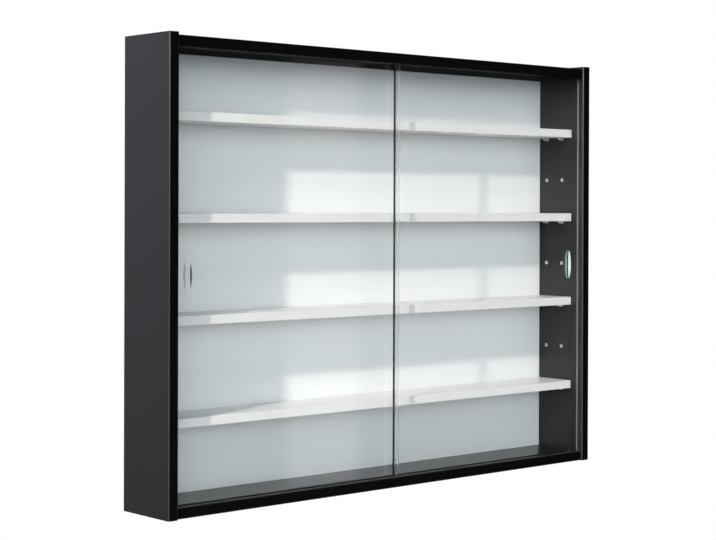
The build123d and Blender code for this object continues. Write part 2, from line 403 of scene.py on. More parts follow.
@dataclass(frozen=True)
class Laminate(Finish):
    """A pressed decor foil on board, or a strip of the same look."""

    colour: Colour
    hazed: Colour
    gloss: float = 0.3
    gloss_range: float = 0.03
    shine: float = 0.5
    ior: float = 1.5
    grain: float = 1600.0
    relief: float = 0.006 * MM

    def surface(self, graph: Graph) -> Socket:
        """A tone that haze lifts a little, over a pearled relief."""
        marks = graph.effect(Handling, gloss=self.gloss, range=self.gloss_range)
        colour = graph.mix(marks["Haze"], self.colour, self.hazed)
        pearl = graph.effect(Pearl, grain=self.grain)["Height"]
        return self.skin(graph, colour, marks["Roughness"], pearl, self.relief,
                         {"Specular IOR Level": self.shine, "IOR": self.ior})


@dataclass(frozen=True)
class RawBoard(Finish):
    """The bare core of a board, where a hole or an edge opens it."""

    light: Colour = (0.52, 0.38, 0.26)
    dark: Colour = (0.2, 0.11, 0.06)
    grain: float = 700.0
    relief: float = 0.15 * MM
    gloss: float = 0.85

    def surface(self, graph: Graph) -> Socket:
        """Chips and pores, dull all over."""
        chips = graph.effect(Particles, grain=self.grain, light=self.light, dark=self.dark)
        return self.skin(graph, chips["Color"], self.gloss, chips["Height"], self.relief)


@dataclass(frozen=True)
class Hardboard(Finish):
    """The bare rear of a hardboard sheet, with the print of its press screen."""

    light: Colour = (0.36, 0.22, 0.12)
    dark: Colour = (0.2, 0.11, 0.06)
    grain: float = 1500.0
    screen_pitch: float = 1.6 * MM
    screen_share: float = 0.4
    relief: float = 0.12 * MM
    gloss: float = 0.6

    def surface(self, graph: Graph) -> Socket:
        """Brown fibres under a fine square net."""
        fibres = graph.effect(Particles, grain=self.grain, light=self.light, dark=self.dark)
        turn = 2 * math.pi / self.screen_pitch
        waves = graph.vector("MULTIPLY", graph.place(), (turn, turn, turn))
        parts = graph.add("SeparateXYZ", {0: waves}).outputs
        net = graph.math("MULTIPLY", *(graph.math("SINE", parts[axis]) for axis in "XZ"))
        height = graph.math("MULTIPLY_ADD", net, self.screen_share, fibres["Height"])
        return self.skin(graph, fibres["Color"], self.gloss, height, self.relief)


@dataclass(frozen=True)
class Plastic(Finish):
    """An extruded plastic, with faint lines along its length."""

    colour: Colour
    worn: Colour
    gloss: float = 0.38
    gloss_range: float = 0.05
    ior: float = 1.2
    grain: float = 1800.0
    relief: float = 0.02 * MM

    def surface(self, graph: Graph) -> Socket:
        """Lines in the tone, the gloss and the relief."""
        lines = graph.effect(Drawn, grain=self.grain)["Lines"]
        colour = graph.mix(lines, self.colour, self.worn)
        rough = graph.spread(lines, self.gloss - self.gloss_range, self.gloss + self.gloss_range)
        return self.skin(graph, colour, rough, lines, self.relief, {"IOR": self.ior})


@dataclass(frozen=True)
class PlatedMetal(Finish):
    """Steel or zinc with a plated or cast skin."""

    colour: Colour
    dulled: Colour
    gloss: float = 0.25
    gloss_range: float = 0.12
    line_share: float = 0.6
    relief: float = 0.01 * MM
    grain: float = 4000.0

    def surface(self, graph: Graph) -> Socket:
        """Fine lines, and patches where the plating has dulled."""
        marks = graph.effect(Handling, gloss=self.gloss, range=self.gloss_range)
        pearl = graph.effect(Pearl, grain=self.grain)["Height"]
        lines = graph.effect(Drawn, grain=self.grain)["Lines"]
        height = graph.math("MULTIPLY_ADD", lines, self.line_share, pearl)
        colour = graph.mix(marks["Haze"], self.colour, self.dulled)
        return self.skin(graph, colour, marks["Roughness"], height, self.relief, {"Metallic": 1.0})


@dataclass(frozen=True)
class Beech(Finish):
    """Bare beech with its short dark flecks, the grain along X."""

    light: Colour = (0.66, 0.47, 0.29)
    dark: Colour = (0.5, 0.32, 0.18)
    grain: float = 900.0
    fleck_scale: Place = (250, 2400, 2400)
    fleck_limits: Range = (0.6, 0.7)
    fleck_share: float = 0.5
    relief: float = 0.04 * MM
    gloss: float = 0.6

    def surface(self, graph: Graph) -> Socket:
        """Drawn-out growth lines with flecks over them."""
        growth = graph.effect(Drawn, grain=self.grain)["Lines"]
        flecks = graph.noise(graph.vector("MULTIPLY", graph.place(), self.fleck_scale), 1)
        flecks = graph.spread(flecks, 0, 1, *self.fleck_limits)
        share = graph.math("MULTIPLY_ADD", flecks, self.fleck_share, growth, clamp=True)
        colour = graph.mix(share, self.light, self.dark)
        return self.skin(graph, colour, self.gloss, share, self.relief)


@dataclass(frozen=True)
class Glass(Finish):
    """Glass that lets lamps and scattered light straight through."""

    tint: Colour
    smeared: Colour
    shadow: Colour
    gloss: float = 0.0
    body: ClassVar[dict[str, float]] = {"IOR": 1.52, "Metallic": 0.0, "Transmission Weight": 1.0}

    def surface(self, graph: Graph) -> Socket:
        """The glass itself, but a plain tinted opening to shadow rays and scattered rays."""
        haze = graph.effect(Handling)["Haze"]
        inputs = {"Base Color": graph.mix(haze, self.tint, self.smeared), "Roughness": self.gloss}
        glass = graph.add("BsdfPrincipled", inputs | self.body).outputs[0]
        opening = graph.add("BsdfTransparent", {"Color": self.shadow}).outputs[0]
        light = graph.add("LightPath").outputs
        straight = graph.math("MAXIMUM", light["Is Shadow Ray"], light["Is Diffuse Ray"])
        return graph.add("MixShader", {0: straight, 1: glass, 2: opening}).outputs[0]


@dataclass(frozen=True)
class FrostedEnd(Glass):
    """Ground glass that lets no light through, whose colour is painted light: what the pane would lead
    to the face, such as the green of a long way.
    """

    gloss: float = 0.5
    body: ClassVar[dict[str, float]] = {}


@dataclass(frozen=True)
class FloorPaint(Finish):
    """A matt floor, white to the camera."""

    pale: Colour = (0.9, 0.9, 0.9)
    scuffed: Colour = (0.88, 0.88, 0.88)
    patch_scale: float = 6.0
    gloss: float = 0.9

    def surface(self, graph: Graph) -> Socket:
        """An almost even tone."""
        tone = graph.mix(graph.noise(graph.place(), self.patch_scale), self.pale, self.scuffed)
        matt = graph.add("BsdfPrincipled", {"Base Color": tone, "Roughness": self.gloss})
        white = graph.add("Emission", {"Color": (1, 1, 1), "Strength": 1.0})
        camera = graph.add("LightPath").outputs["Is Camera Ray"]
        inputs = {0: camera, 1: matt.outputs[0], 2: white.outputs[0]}
        return graph.add("MixShader", inputs).outputs[0]


class Finishes:
    """Every finish, with the light that a clear and a ground face of the panes let through."""

    clear = (0.973, 0.978, 0.977)
    ground = (0.9, 0.93, 0.92)

    black_board = Laminate("black laminate", (0.0045, 0.0044, 0.0048), (0.006, 0.0059, 0.0063))
    dull_board = Laminate("dull black laminate", (0.0035, 0.0035, 0.0036), (0.0045, 0.0045, 0.0045),
                          gloss=0.5, ior=1.02)
    black_edging = Laminate("black edging", (0.0018, 0.0018, 0.0018), (0.0024, 0.0024, 0.0024),
                            shine=0.15, relief=0.004 * MM)
    # The edging lightened for its rounded corners: a painted highlight.
    edging_round = Laminate("buffed edging", (0.034, 0.034, 0.034), (0.028, 0.028, 0.028),
                            gloss=0.36, relief=0.004 * MM)
    white_board = Laminate("white laminate", (0.84, 0.845, 0.84), (0.81, 0.815, 0.815))
    white_edging = Laminate("white edging", (0.86, 0.86, 0.855), (0.83, 0.83, 0.83))
    white_back = Laminate("white lacquer", (0.83, 0.845, 0.85), (0.815, 0.83, 0.835), gloss=0.42,
                          grain=1100.0)
    raw_board = RawBoard("raw particle board")
    # Raw board much lightened for the pin holes: painted light on their lit walls.
    drilled_board = RawBoard("drilled particle board", (0.84, 0.76, 0.68), (0.5, 0.4, 0.32))
    brown_back = Hardboard("raw hardboard")
    track = Plastic("black track", (0.006, 0.006, 0.006), (0.01, 0.01, 0.01))
    clear_glass = Glass("clear glass", (0.985, 0.993, 0.99), (0.975, 0.985, 0.98), clear)
    ground_arris = Glass("ground glass arris", (0.62, 0.85, 0.82), (0.56, 0.8, 0.77), ground, 0.3)
    # Both inner ends are tinted dark teal: partly the glass's green, partly painted shade.
    ground_end = Glass("ground glass end", (0.1, 0.22, 0.2), (0.08, 0.19, 0.175),
                       (0.0, 0.01, 0.01), 0.2)
    shaded_end = Glass("shaded glass end", (0.1, 0.22, 0.2), (0.08, 0.19, 0.175),
                       (0.96, 0.975, 0.97), 0.2)
    # The outer ends show painted light along with the glass's green.
    frosted_end = FrostedEnd("frosted glass end", (0.135, 0.195, 0.18), (0.115, 0.175, 0.16), ground)
    # Tones painted into the pulls' slopes: painted highlights on the right pane's pull, painted shade
    # and a dim painted highlight on the left pane's.
    lit_slope = FrostedEnd("bright pull slope", (0.56, 0.64, 0.67), (0.53, 0.61, 0.65), clear)
    pale_slope = FrostedEnd("pale pull slope", (0.5, 0.6, 0.56), (0.46, 0.56, 0.52), clear)
    dark_slope = FrostedEnd("dark pull slope", (0.02, 0.03, 0.03), (0.017, 0.026, 0.026), clear, 0.6)
    dim_slope = FrostedEnd("dim pull slope", (0.14, 0.16, 0.19), (0.13, 0.15, 0.18), clear, 0.6)
    pin_steel = PlatedMetal("nickel plate", (0.93, 0.93, 0.91), (0.87, 0.87, 0.85), gloss=0.36)
    zinc_steel = PlatedMetal("zinc plate", (0.64, 0.66, 0.68), (0.5, 0.52, 0.55), gloss=0.35)
    cast_zinc = PlatedMetal("die-cast zinc", (0.5, 0.5, 0.52), (0.4, 0.4, 0.42), gloss=0.5,
                            relief=0.03 * MM, grain=2500.0)
    # The frame has a material of this name, so the dowels show its plain colour and not this.
    beech = Beech("beech")
    floor = FloorPaint("floor")


# Modelling by hand

def deselect_all() -> None:
    """Leaves nothing selected, in object mode."""
    if bpy.context.object and bpy.context.object.mode != "OBJECT":
        bpy.ops.object.mode_set(mode="OBJECT")
    bpy.ops.object.select_all(action="DESELECT")


def hold(piece: Piece) -> None:
    """Makes a piece the only selected object, and the active one."""
    deselect_all()
    piece.select_set(True)
    bpy.context.view_layer.objects.active = piece


@contextmanager
def edit(piece: Piece) -> Iterator[None]:
    """Edit mode on one piece, for as long as the block lasts."""
    hold(piece)
    bpy.ops.object.mode_set(mode="EDIT")
    yield
    bpy.ops.object.mode_set(mode="OBJECT")


def select(piece: Piece, element: Element, test: Callable[..., bool]) -> None:
    """Selects, in edit mode, the elements that pass a test and nothing else."""
    bpy.ops.mesh.select_mode(type=element.value)
    bpy.ops.mesh.select_all(action="DESELECT")
    mesh = bmesh.from_edit_mesh(piece.data)
    for item in getattr(mesh, element.word):
        item.select_set(test(item))
    mesh.select_flush_mode()
    bmesh.update_edit_mesh(piece.data)


def settle(piece: Piece, name: str) -> Piece:
    """Names a new primitive and moves its place into its mesh."""
    piece.name = piece.data.name = name
    hold(piece)
    bpy.ops.object.transform_apply(location=True, rotation=True, scale=True)
    return piece


def block(name: str, space: Extent) -> Piece:
    """A box that fills a block of space."""
    deselect_all()
    bpy.ops.mesh.primitive_cube_add(size=1, location=space.centre, scale=space.size)
    return settle(bpy.context.active_object, name)


def turned(name: str, start: Vector, along: Vector, stations: list[Range], sides: int = 32) -> Piece:
    """A turned piece, drawn out from a disc by extruding and scaling its end.

    Args:
        name: The new object's name.
        start: Where the axis begins.
        along: The direction of the axis.
        stations: Pairs of a distance along the axis and the radius there.
        sides: How many sides the round has.

    Returns:
        The new object.
    """
    deselect_all()
    place, radius = stations[0]
    bpy.ops.mesh.primitive_circle_add(vertices=sides, radius=radius, fill_type="NGON",
                                      location=(0, 0, place))
    piece = settle(bpy.context.active_object, name)
    with edit(piece):
        bpy.ops.mesh.select_mode(type="FACE")
        bpy.ops.mesh.select_all(action="SELECT")
        for next_place, next_radius in stations[1:]:
            bpy.ops.mesh.extrude_region_move(
                TRANSFORM_OT_translate={"value": (0, 0, next_place - place)})
            ratio = next_radius / radius
            bpy.ops.transform.resize(value=(ratio, ratio, 1), center_override=(0, 0, next_place))
            place, radius = next_place, next_radius
        bpy.ops.mesh.select_all(action="SELECT")
        bpy.ops.mesh.normals_make_consistent(inside=False)
    piece.matrix_world = Matrix.Translation(start) @ along.to_track_quat("Z", "Y").to_matrix().to_4x4()
    return settle(piece, name)


def rod(name: str, start: Vector, end: Vector, radius: float) -> Piece:
    """A plain round bar between two points."""
    return turned(name, start, end - start, [(0, radius), ((end - start).length, radius)])


def joined(pieces: list[Piece], name: str) -> Piece:
    """Several objects made into one."""
    hold(pieces[0])
    for piece in pieces:
        piece.select_set(True)
    bpy.ops.object.join()
    pieces[0].name = pieces[0].data.name = name
    return pieces[0]


def copy_of(piece: Piece, place: Matrix) -> Piece:
    """A copy with a mesh of its own, moved or mirrored by a matrix."""
    copy = piece.copy()
    copy.data = piece.data.copy()
    copy.data.transform(place)
    if place.determinant() < 0:
        copy.data.flip_normals()
    bpy.context.scene.collection.objects.link(copy)
    return copy


def repeated(piece: Piece, places: list[Matrix], name: str) -> Piece:
    """Copies of a piece at several places, joined, instead of the piece."""
    copies = [copy_of(piece, place) for place in places]
    bpy.data.objects.remove(piece)
    return joined(copies, name)


def both_ends(*rows: float) -> list[Matrix]:
    """The moves that bring a piece at the right end to both ends and to each row in depth."""
    return [Matrix.Diagonal((side.value, 1, 1, 1)) @ Matrix.Translation((0, y, 0))
            for side in Side for y in rows]


def apply(piece: Piece, kind: str, **settings) -> None:
    """Adds a modifier with the given settings, and applies it."""
    hold(piece)
    modifier = piece.modifiers.new(kind, kind)
    for name, value in settings.items():
        setattr(modifier, name, value)
    bpy.ops.object.modifier_apply(modifier=modifier.name)


def cut(piece: Piece, cutter: Piece, finish: Finish | None = None) -> None:
    """Cuts one object out of another and discards it.

    Args:
        piece: What is cut.
        cutter: The shape to take away.
        finish: The finish of the new faces, or None for the piece's own.
    """
    if finish is not None:
        cutter.data.materials.append(finish.material())
    apply(piece, "BOOLEAN", operation="DIFFERENCE", solver="EXACT", object=cutter,
          material_mode="TRANSFER" if finish is not None else "INDEX")
    bpy.data.objects.remove(cutter)


def round_edges(piece: Piece, radius: float, segments: int,
                test: EdgeTest = lambda edge: True) -> None:
    """Rounds the edges of a piece that pass a test."""
    with edit(piece):
        select(piece, Element.EDGES, test)
        bpy.ops.mesh.bevel(offset=radius, offset_type="OFFSET", segments=segments,
                           affect="EDGES", clamp_overlap=True)


def runs(edge: bmesh.types.BMEdge, along: Along) -> bool:
    """True if an edge runs along an axis."""
    way = edge.verts[1].co - edge.verts[0].co
    return abs(way[along.value]) > NEARLY * way.length


def sharp(edge: bmesh.types.BMEdge) -> bool:
    """True if the faces at an edge turn by about a right angle or more."""
    return edge.calc_face_angle(0) > SHARP


def slanted(face: bpy.types.MeshPolygon) -> bool:
    """True if a face looks along none of the axes."""
    return max(map(abs, face.normal)) < SLANTED


def looks(*ways: Vector) -> FaceTest:
    """A test for faces that look in one of the given directions."""
    return lambda face: any(face.normal.dot(way) > FACING for way in ways)


def paint(piece: Piece, finish: Finish, test: FaceTest | None = None) -> None:
    """Gives a finish to a piece, or to the faces of it that pass a test."""
    if test is None:
        piece.data.materials.clear()
    piece.data.materials.append(finish.material())
    index = len(piece.data.materials) - 1
    for polygon in piece.data.polygons:
        if test is None or test(polygon):
            polygon.material_index = index


def seat(piece: Piece, body: str, node: str, angle: float = 40) -> None:
    """Shades a finished piece, keeping its flat faces flat, and hands it to the frame.

    Args:
        piece: The finished object.
        body: The body that it moves with.
        node: The node that it stands for.
        angle: The largest turn at an edge that is shaded smooth, in degrees.
    """
    hold(piece)
    bpy.ops.object.shade_smooth_by_angle(angle=math.radians(angle))
    apply(piece, "WEIGHTED_NORMAL", mode="FACE_AREA", weight=50, keep_sharp=True)
    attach(piece, body)
    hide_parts(node)
    log.info("%s stands for %s on %s, %d faces", piece.name, node, body, len(piece.data.polygons))


# Studio

@dataclass(frozen=True)
class Lobe:
    """A soft bright region of the surroundings, by its middle, its light and how narrow it is.

    A flat lobe is narrower in height, and its middle is given as a direction after flattening.
    """

    middle: Place
    power: float
    focus: float
    flat: float = 1.0

    def added(self, graph: Graph, way: Socket, level: object) -> Socket:
        """The light from a direction, with the lobe added to a level."""
        if self.flat != 1:
            way = graph.vector("NORMALIZE", graph.vector("MULTIPLY", way, (1, 1, self.flat)))
        facing = graph.math("MAXIMUM", graph.vector("DOT_PRODUCT", way, self.middle), 0)
        bright = graph.math("POWER", facing, self.focus)
        return graph.math("MULTIPLY_ADD", bright, self.power, level)


@dataclass
class Studio:
    """The camera, the lamp, the surroundings and the floor.

    The windows are two bright bands that the panes reflect. Each is given by where it begins and
    ends, as X over depth, and its steps give a level below and above a rise in Z, and that rise.
    """

    image_width: float = 716
    image_height: float = 540
    focal_pixels: float = 1670.6
    centre_pixel: Range = (268.42, 216.58)
    sensor: float = 36.0
    eye: Place = (-1.6220, -1.7318, -0.1741)
    heading: float = 40.137
    pitch: float = -0.3485
    roll: float = 0.178
    view_end: float = 100.0
    key_place: Place = (-2.2, -0.73, 0.545)
    key_size: Range = (0.065, 0.09)
    key_power: float = 11.1
    key_colour: Colour = (1.08, 0.965, 0.9)
    fill_colour: Colour = (0.915, 0.975, 1.015)
    fill_even: float = 0.06
    fill: Lobe = Lobe((-0.4495, -0.8575, 0.25), 6.6, 9.0, flat=2.0)
    rear: Lobe = Lobe((0.42, 0.87, 0.26), 1.1, 3.0)
    gleam_bright: Colour = (0.98, 0.96, 1.1)
    gleam_dark: Colour = (0.03, 0.031, 0.032)
    dark_way: Place = (0.683, -0.73, 0.0)
    dark_limits: Range = (-0.3, 0.5)
    low_gleam: float = 0.1
    gleam_rise: Range = (-0.35, 0.3)
    windows: tuple[Range, ...] = ((0.8636, 0.9393), (0.9700, 0.9745))
    window_blur: float = 0.1
    window_colour: Colour = (0.78, 0.76, 0.8)
    window_steps: tuple[tuple[float, ...], ...] = (
        (0, 0.3, 0.04, 0.07), (0.45, 0, -0.14, -0.06), (0.35, -0.2, 0.076, 0.088))
    floor_drop: float = 1.5
    floor_reach: float = 3.0

    def build(self) -> None:
        """Sets up everything around the object."""
        self.camera()
        self.key_lamp()
        self.surroundings()
        self.floor()
        bpy.context.scene.view_settings.view_transform = "Standard"

    def camera(self) -> None:
        """The camera at the photograph's place, level and lens."""
        lens = bpy.data.cameras.new("camera")
        lens.sensor_fit = "HORIZONTAL"
        lens.sensor_width = self.sensor
        lens.lens = self.focal_pixels * self.sensor / self.image_width
        lens.shift_x = (self.image_width / 2 - self.centre_pixel[0]) / self.image_width
        lens.shift_y = (self.centre_pixel[1] - self.image_height / 2) / self.image_width
        lens.clip_end = self.view_end
        camera = bpy.data.objects.new("camera", lens)
        bpy.context.scene.collection.objects.link(camera)
        turn = Matrix.Rotation(-math.radians(self.heading), 4, "Z")
        tilt = Matrix.Rotation(math.radians(90 + self.pitch), 4, "X")
        roll = Matrix.Rotation(math.radians(self.roll), 4, "Z")
        camera.matrix_world = Matrix.Translation(self.eye) @ turn @ tilt @ roll
        bpy.context.scene.camera = camera

    def key_lamp(self) -> None:
        """A small bright lamp on the left, whose light rakes along the front and doesn't fade."""
        lamp = bpy.data.lights.new("key lamp", "AREA")
        lamp.shape = "ELLIPSE"
        lamp.size, lamp.size_y = self.key_size
        lamp.energy = self.key_power
        lamp.color = self.key_colour
        key = bpy.data.objects.new("key lamp", lamp)
        bpy.context.scene.collection.objects.link(key)
        middle = Vector((CAD_BOX[0][0] + CAD_BOX[1][0], 0, 0)) / 2
        key.location = self.key_place
        key.rotation_euler = (middle - key.location).to_track_quat("-Z", "Y").to_euler()
        lamp.use_nodes = True
        graph = Graph(lamp.node_tree)
        strength = graph.add("LightFalloff", {"Strength": 1.0}).outputs["Constant"]
        graph.add("OutputLight", {0: graph.add("Emission", {"Strength": strength}).outputs[0]})

    def surroundings(self) -> None:
        """An even pale room, dark in gleams towards the front right, and white to the eye."""
        world = bpy.data.worlds.new("surroundings")
        bpy.context.scene.world = world
        world.use_nodes = True
        world.cycles.sampling_method = "NONE"
        graph = Graph(world.node_tree)
        light = graph.add("LightPath").outputs
        way = graph.add("TexCoord").outputs["Generated"]
        parts = graph.add("SeparateXYZ", {0: way}).outputs
        level = self.rear.added(graph, way, self.fill.added(graph, way, self.fill_even))
        fill = graph.mix(1.0, self.fill_colour, level, "MULTIPLY")
        share = graph.spread(graph.vector("DOT_PRODUCT", way, self.dark_way), 0, 1, *self.dark_limits)
        height = graph.spread(parts["Z"], self.low_gleam, 1, *self.gleam_rise)
        gleam = graph.mix(share, self.gleam_bright, self.gleam_dark)
        gleam = graph.mix(1.0, gleam, height, "MULTIPLY")
        gleam = graph.mix(self.window_mask(graph, parts), gleam, self.window_colour)
        rear = graph.math("GREATER_THAN", parts["Y"], 0)
        through = graph.math("MULTIPLY", light["Is Transmission Ray"], rear)
        bent = graph.math("MAXIMUM", light["Is Glossy Ray"], light["Is Transmission Ray"])
        seen = graph.math("MAXIMUM", light["Is Camera Ray"], through)
        colour = graph.mix(seen, graph.mix(bent, fill, gleam), (1, 1, 1))
        background = graph.add("Background", {"Color": colour, "Strength": 1.0}).outputs[0]
        graph.add("OutputWorld", {"Surface": background})

    def window_mask(self, graph: Graph, parts: bpy.types.NodeOutputs) -> Socket:
        """How far the windows cover a direction.

        Args:
            graph: The world's graph.
            parts: The three parts of the direction.

        Returns:
            A mask, strongest well below the level of the eye, that ends a little above it.
        """
        depth = graph.math("MAXIMUM", graph.math("MULTIPLY", parts["Y"], -1), 0.01)
        bearing = graph.math("DIVIDE", parts["X"], depth)
        bands = []
        for low, high in self.windows:
            blur = (high - low) * self.window_blur
            rise = graph.spread(bearing, 0, 1, low - blur, low + blur)
            fall = graph.spread(bearing, 1, 0, high - blur, high + blur)
            bands.append(graph.math("MULTIPLY", rise, fall))
        above, below, over = (graph.spread(parts["Z"], *step) for step in self.window_steps)
        level = graph.math("ADD", graph.math("ADD", above, below), over)
        return graph.math("MULTIPLY", graph.math("MAXIMUM", *bands), level)

    def floor(self) -> None:
        """A pale floor well below the object, which hangs on a wall."""
        deselect_all()
        bpy.ops.mesh.primitive_plane_add(size=self.floor_reach, location=(0, 0, -self.floor_drop))
        plane = settle(bpy.context.active_object, "floor")
        paint(plane, Finishes.floor)


# Sub-assemblies

@dataclass(frozen=True)
class Lines:
    """Lines and levels that several pieces share."""

    pin_rows: Range = (-51.5 * MM, -21.5 * MM)
    lowest_hole: float = -452 * MM
    hole_pitch: float = 64 * MM
    hole_levels: int = 7
    dowel_rows: Range = (-61 * MM, -17 * MM)
    bolt_row: float = -39 * MM
    groove_depth: float = 4 * MM
    groove_gap: float = 0.1 * MM
    cam_from_end: float = 24.5 * MM
    cam_radius: float = 7.5 * MM
    keyhole_radius: float = 4.2 * MM
    keyhole_rise: float = 9 * MM
    hanger_screws: Range = (-9.5 * MM, 18.5 * MM)

    @property
    def hole_heights(self) -> list[float]:
        """The height of each pin hole, from the lowest."""
        return [self.lowest_hole + self.hole_pitch * step for step in range(self.hole_levels)]


LINES = Lines()
BACK = Extent.of("back_panel")
GROOVE = (BACK.low.y - LINES.groove_gap, BACK.high.y + LINES.groove_gap)
INNER = Extent.of("right_side_panel").low.x


@dataclass(frozen=True)
class Bore:
    """A round hole, by the middle of its mouth, the way it runs and its sizes."""

    mouth: Vector
    way: Vector
    radius: float
    depth: float
    frayed: float = 0.0

    def cutter(self) -> Piece:
        """The shape that the hole takes away, wider at a frayed mouth."""
        wide = self.radius + self.frayed
        stations = [(-OVER, wide), (0, wide), (self.frayed, self.radius), (self.depth, self.radius)]
        if not self.frayed:
            stations = [(-OVER, self.radius), (self.depth, self.radius)]
        return turned("bore", self.mouth, self.way, stations)


def drill(piece: Piece, bores: list[Bore], finish: Finish) -> None:
    """Cuts several holes that don't meet, in one go."""
    cut(piece, joined([bore.cutter() for bore in bores], "bores"), finish)


def joint_bores(face: float, height: float, way: Vector, bolt: Range, dowel: Range) -> list[Bore]:
    """The holes of one corner joint in one of its boards.

    Args:
        face: The X of the face that they open in.
        height: The height of their axes.
        way: The way they run.
        bolt: The radius and the depth of the cam bolt's hole.
        dowel: The radius and the depth of a dowel's hole.

    Returns:
        The hole for the bolt and those for the dowels.
    """
    rows = [(LINES.bolt_row, bolt)] + [(y, dowel) for y in LINES.dowel_rows]
    return [Bore(Vector((face, y, height)), way, *sizes) for y, sizes in rows]


def edge_strip(node: str, along: Along, corner: float, segments: int, finish: Finish) -> Piece:
    """A strip on a board's front edge, rounded along both of its front corners."""
    space = Extent.of(node)
    strip = block(node.replace("edging", "strip"), space)
    round_edges(strip, corner, segments,
                lambda edge: runs(edge, along) and edge.verts[0].co.y < space.centre.y)
    paint(strip, finish)
    return strip


def cross_recess(piece: Piece, centre: Vector, along: Along, sizes: Place, finish: Finish) -> None:
    """Cuts a screwdriver's crossed slots around a point on a face.

    Args:
        piece: What is cut.
        centre: The middle of the cross, on the face.
        along: The axis that the recess sinks along.
        sizes: The width, the length and the depth of one slot.
        finish: The finish inside it.
    """
    width, length, depth = sizes
    across = [axis.value for axis in Along if axis is not along]
    for long, short in (across, across[::-1]):
        half = Vector((depth, depth, depth))
        half[long], half[short] = length / 2, width / 2
        cut(piece, block("slot", Extent(centre - half, centre + half)), finish)


@dataclass
class SideBoard:
    """A side of the carcass: the board, its holes, and the strip on its front edge.

    Each hole is given by its radius, its depth and how far its mouth is frayed.
    """

    side: Side
    arris: float = 0.3 * MM
    corner: float = 1.8 * MM
    pin_hole: tuple[float, float, float] = (2.55 * MM, 9 * MM, 0.25 * MM)
    dowel_hole: Range = (4.05 * MM, 11 * MM)
    bolt_hole: Range = (3.05 * MM, 10 * MM)
    pilot_hole: Range = (1.8 * MM, 12 * MM)
    seat_gap: float = 0.2 * MM
    pocket_depth: float = 4.2 * MM

    def inner_bores(self) -> tuple[list[Bore], list[Bore]]:
        """The holes in the inner face, for shelf pins and for the corner joints."""
        face = self.side.value * INNER
        way = Vector((self.side.value, 0, 0))
        pins = [Bore(Vector((face, y, z)), way, *self.pin_hole)
                for z in LINES.hole_heights for y in LINES.pin_rows]
        joints = []
        for level in Level:
            joints += joint_bores(face, CrossBoard(level).space.centre.z, way, self.bolt_hole,
                                  self.dowel_hole)
        return pins, joints

    def let_in_hanger(self, board: Piece) -> None:
        """Cuts the seat of the hanger, the room behind its keyhole and its pilot holes."""
        raw = Finishes.raw_board
        plate = Extent.of(f"{self.side.word}_hanger")
        gap = Vector((self.seat_gap, 0, self.seat_gap))
        cut(board, block("seat", Extent(plate.low - gap, plate.high + gap + OVER * REARWARD)), raw)
        radius, middle = LINES.keyhole_radius, plate.centre.x
        pocket = block("pocket", plate.limited(
            x=(middle - radius, middle + radius), y=(plate.low.y - self.pocket_depth, OVER),
            z=(-radius, LINES.keyhole_rise + radius)))
        round_edges(pocket, radius * NEARLY, 10, lambda edge: runs(edge, Along.Y))
        cut(board, pocket, raw)
        drill(board, [Bore(Vector((middle, 0, z)), FORWARD, *self.pilot_hole)
                      for z in LINES.hanger_screws], raw)

    def board(self) -> None:
        """The board, raw along its rear edge and inside its holes."""
        node = f"{self.side.word}_side_panel"
        space = Extent.of(node)
        raw = Finishes.raw_board
        board = block(f"{self.side.word}_side_board", space)
        round_edges(board, self.arris, 2, lambda edge: min(v.co.y for v in edge.verts) > space.low.y)
        paint(board, Finishes.black_board)
        paint(board, raw, looks(REARWARD))
        inner, sign = self.side.value * INNER, self.side.value
        cut(board, block("groove", BACK.limited(
            x=(inner - sign * OVER, inner + sign * LINES.groove_depth), y=GROOVE,
            z=(space.low.z - OVER, space.high.z + OVER))), raw)
        pins, joints = self.inner_bores()
        # The pin holes take the lightened board, painted light on their walls.
        drill(board, pins, Finishes.drilled_board)
        drill(board, joints, raw)
        self.let_in_hanger(board)
        seat(board, "cabinet", node)

    def edging(self) -> None:
        """The strip on the front edge, with a painted highlight on its rounded corners."""
        node = f"{self.side.word}_side_edging"
        strip = edge_strip(node, Along.Z, self.corner, 6, Finishes.black_edging)
        # The rounded corners take the lightened edging: a painted highlight.
        paint(strip, Finishes.edging_round, slanted)
        seat(strip, "cabinet", node)

    def build(self) -> None:
        """The board and its strip."""
        self.board()
        self.edging()


